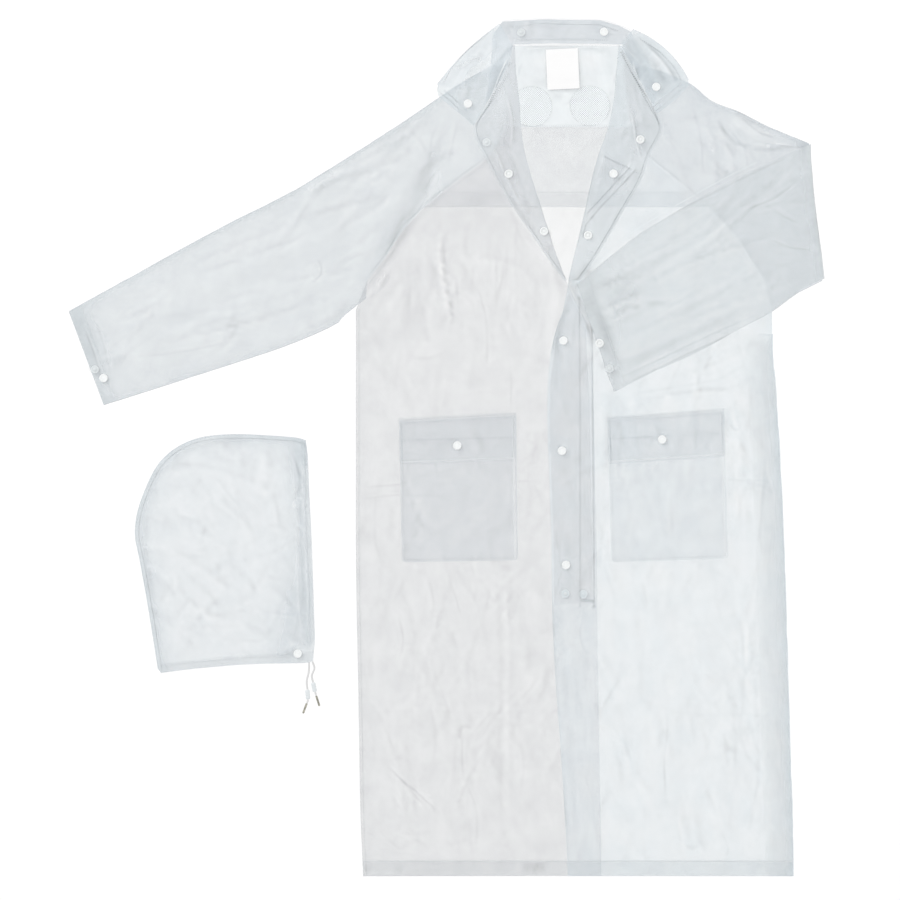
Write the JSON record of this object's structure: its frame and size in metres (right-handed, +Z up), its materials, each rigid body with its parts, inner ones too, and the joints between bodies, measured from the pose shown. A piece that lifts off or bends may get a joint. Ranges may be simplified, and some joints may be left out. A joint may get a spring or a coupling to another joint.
{
  "type": "raincoat",
  "caption": "Knee-length raglan raincoat of clear film, laid flat and half open, with a sleeve folded over the front and its hood taken off beside it.",
  "frame": {"origin": "on the surface it lies on, under the middle of the bounding box of the coat, its hood included", "axes": "+Z up from the surface it lies on, +Y from the hem towards the collar, +X towards the wearer's left side, the viewer's right"},
  "size_m": [1.1303, 1.2865, 0.0118],
  "materials": {
    "film": "soft clear film, slightly frosted and bluish, wrinkled",
    "mesh": "fine white knitted net",
    "label": "bare white woven label",
    "snap": "milky white plastic",
    "cord": "white braided cord",
    "metal": "dark polished metal tip"
  },
  "bodies": {
    "root": {"back_cape": "film", "back_panel": "film", "back_yoke": "film", "vent_right": "mesh", "vent_left": "mesh", "neck_label": "label", "sleeve_right": "film", "sleeve_left": "film", "front_right": "film", "front_left": "film", "fly_lower": "film", "fly_upper": "film", "pocket_right": "film", "pocket_left": "film", "flap_right": "film", "flap_left": "film", "collar_stand": "film", "collar_fall": "film", "hood_side_under": "film", "hood_side_over": "film", "hood_band": "film", "hood_casing": "film", "snap_front_1": "snap", "snap_front_2": "snap", "snap_front_3": "snap", "snap_lapel_right_1": "snap", "snap_lapel_right_2": "snap", "snap_lapel_left_1": "snap", "snap_lapel_left_2": "snap", "snap_neck_right": "snap", "snap_neck_left": "snap", "snap_leaf_right": "snap", "snap_leaf_left": "snap", "snap_stand_right": "snap", "snap_stand_left": "snap", "snap_cuff_right_1": "snap", "snap_cuff_right_2": "snap", "snap_cuff_left_1": "snap", "snap_cuff_left_2": "snap", "snap_flap_right": "snap", "snap_flap_left": "snap", "snap_hood": "snap", "drawcord_a": "cord", "drawcord_b": "cord", "cord_lock_a": "snap", "cord_lock_b": "snap", "cord_tip_a": "metal", "cord_tip_b": "metal"}
  },
  "joints": []
}
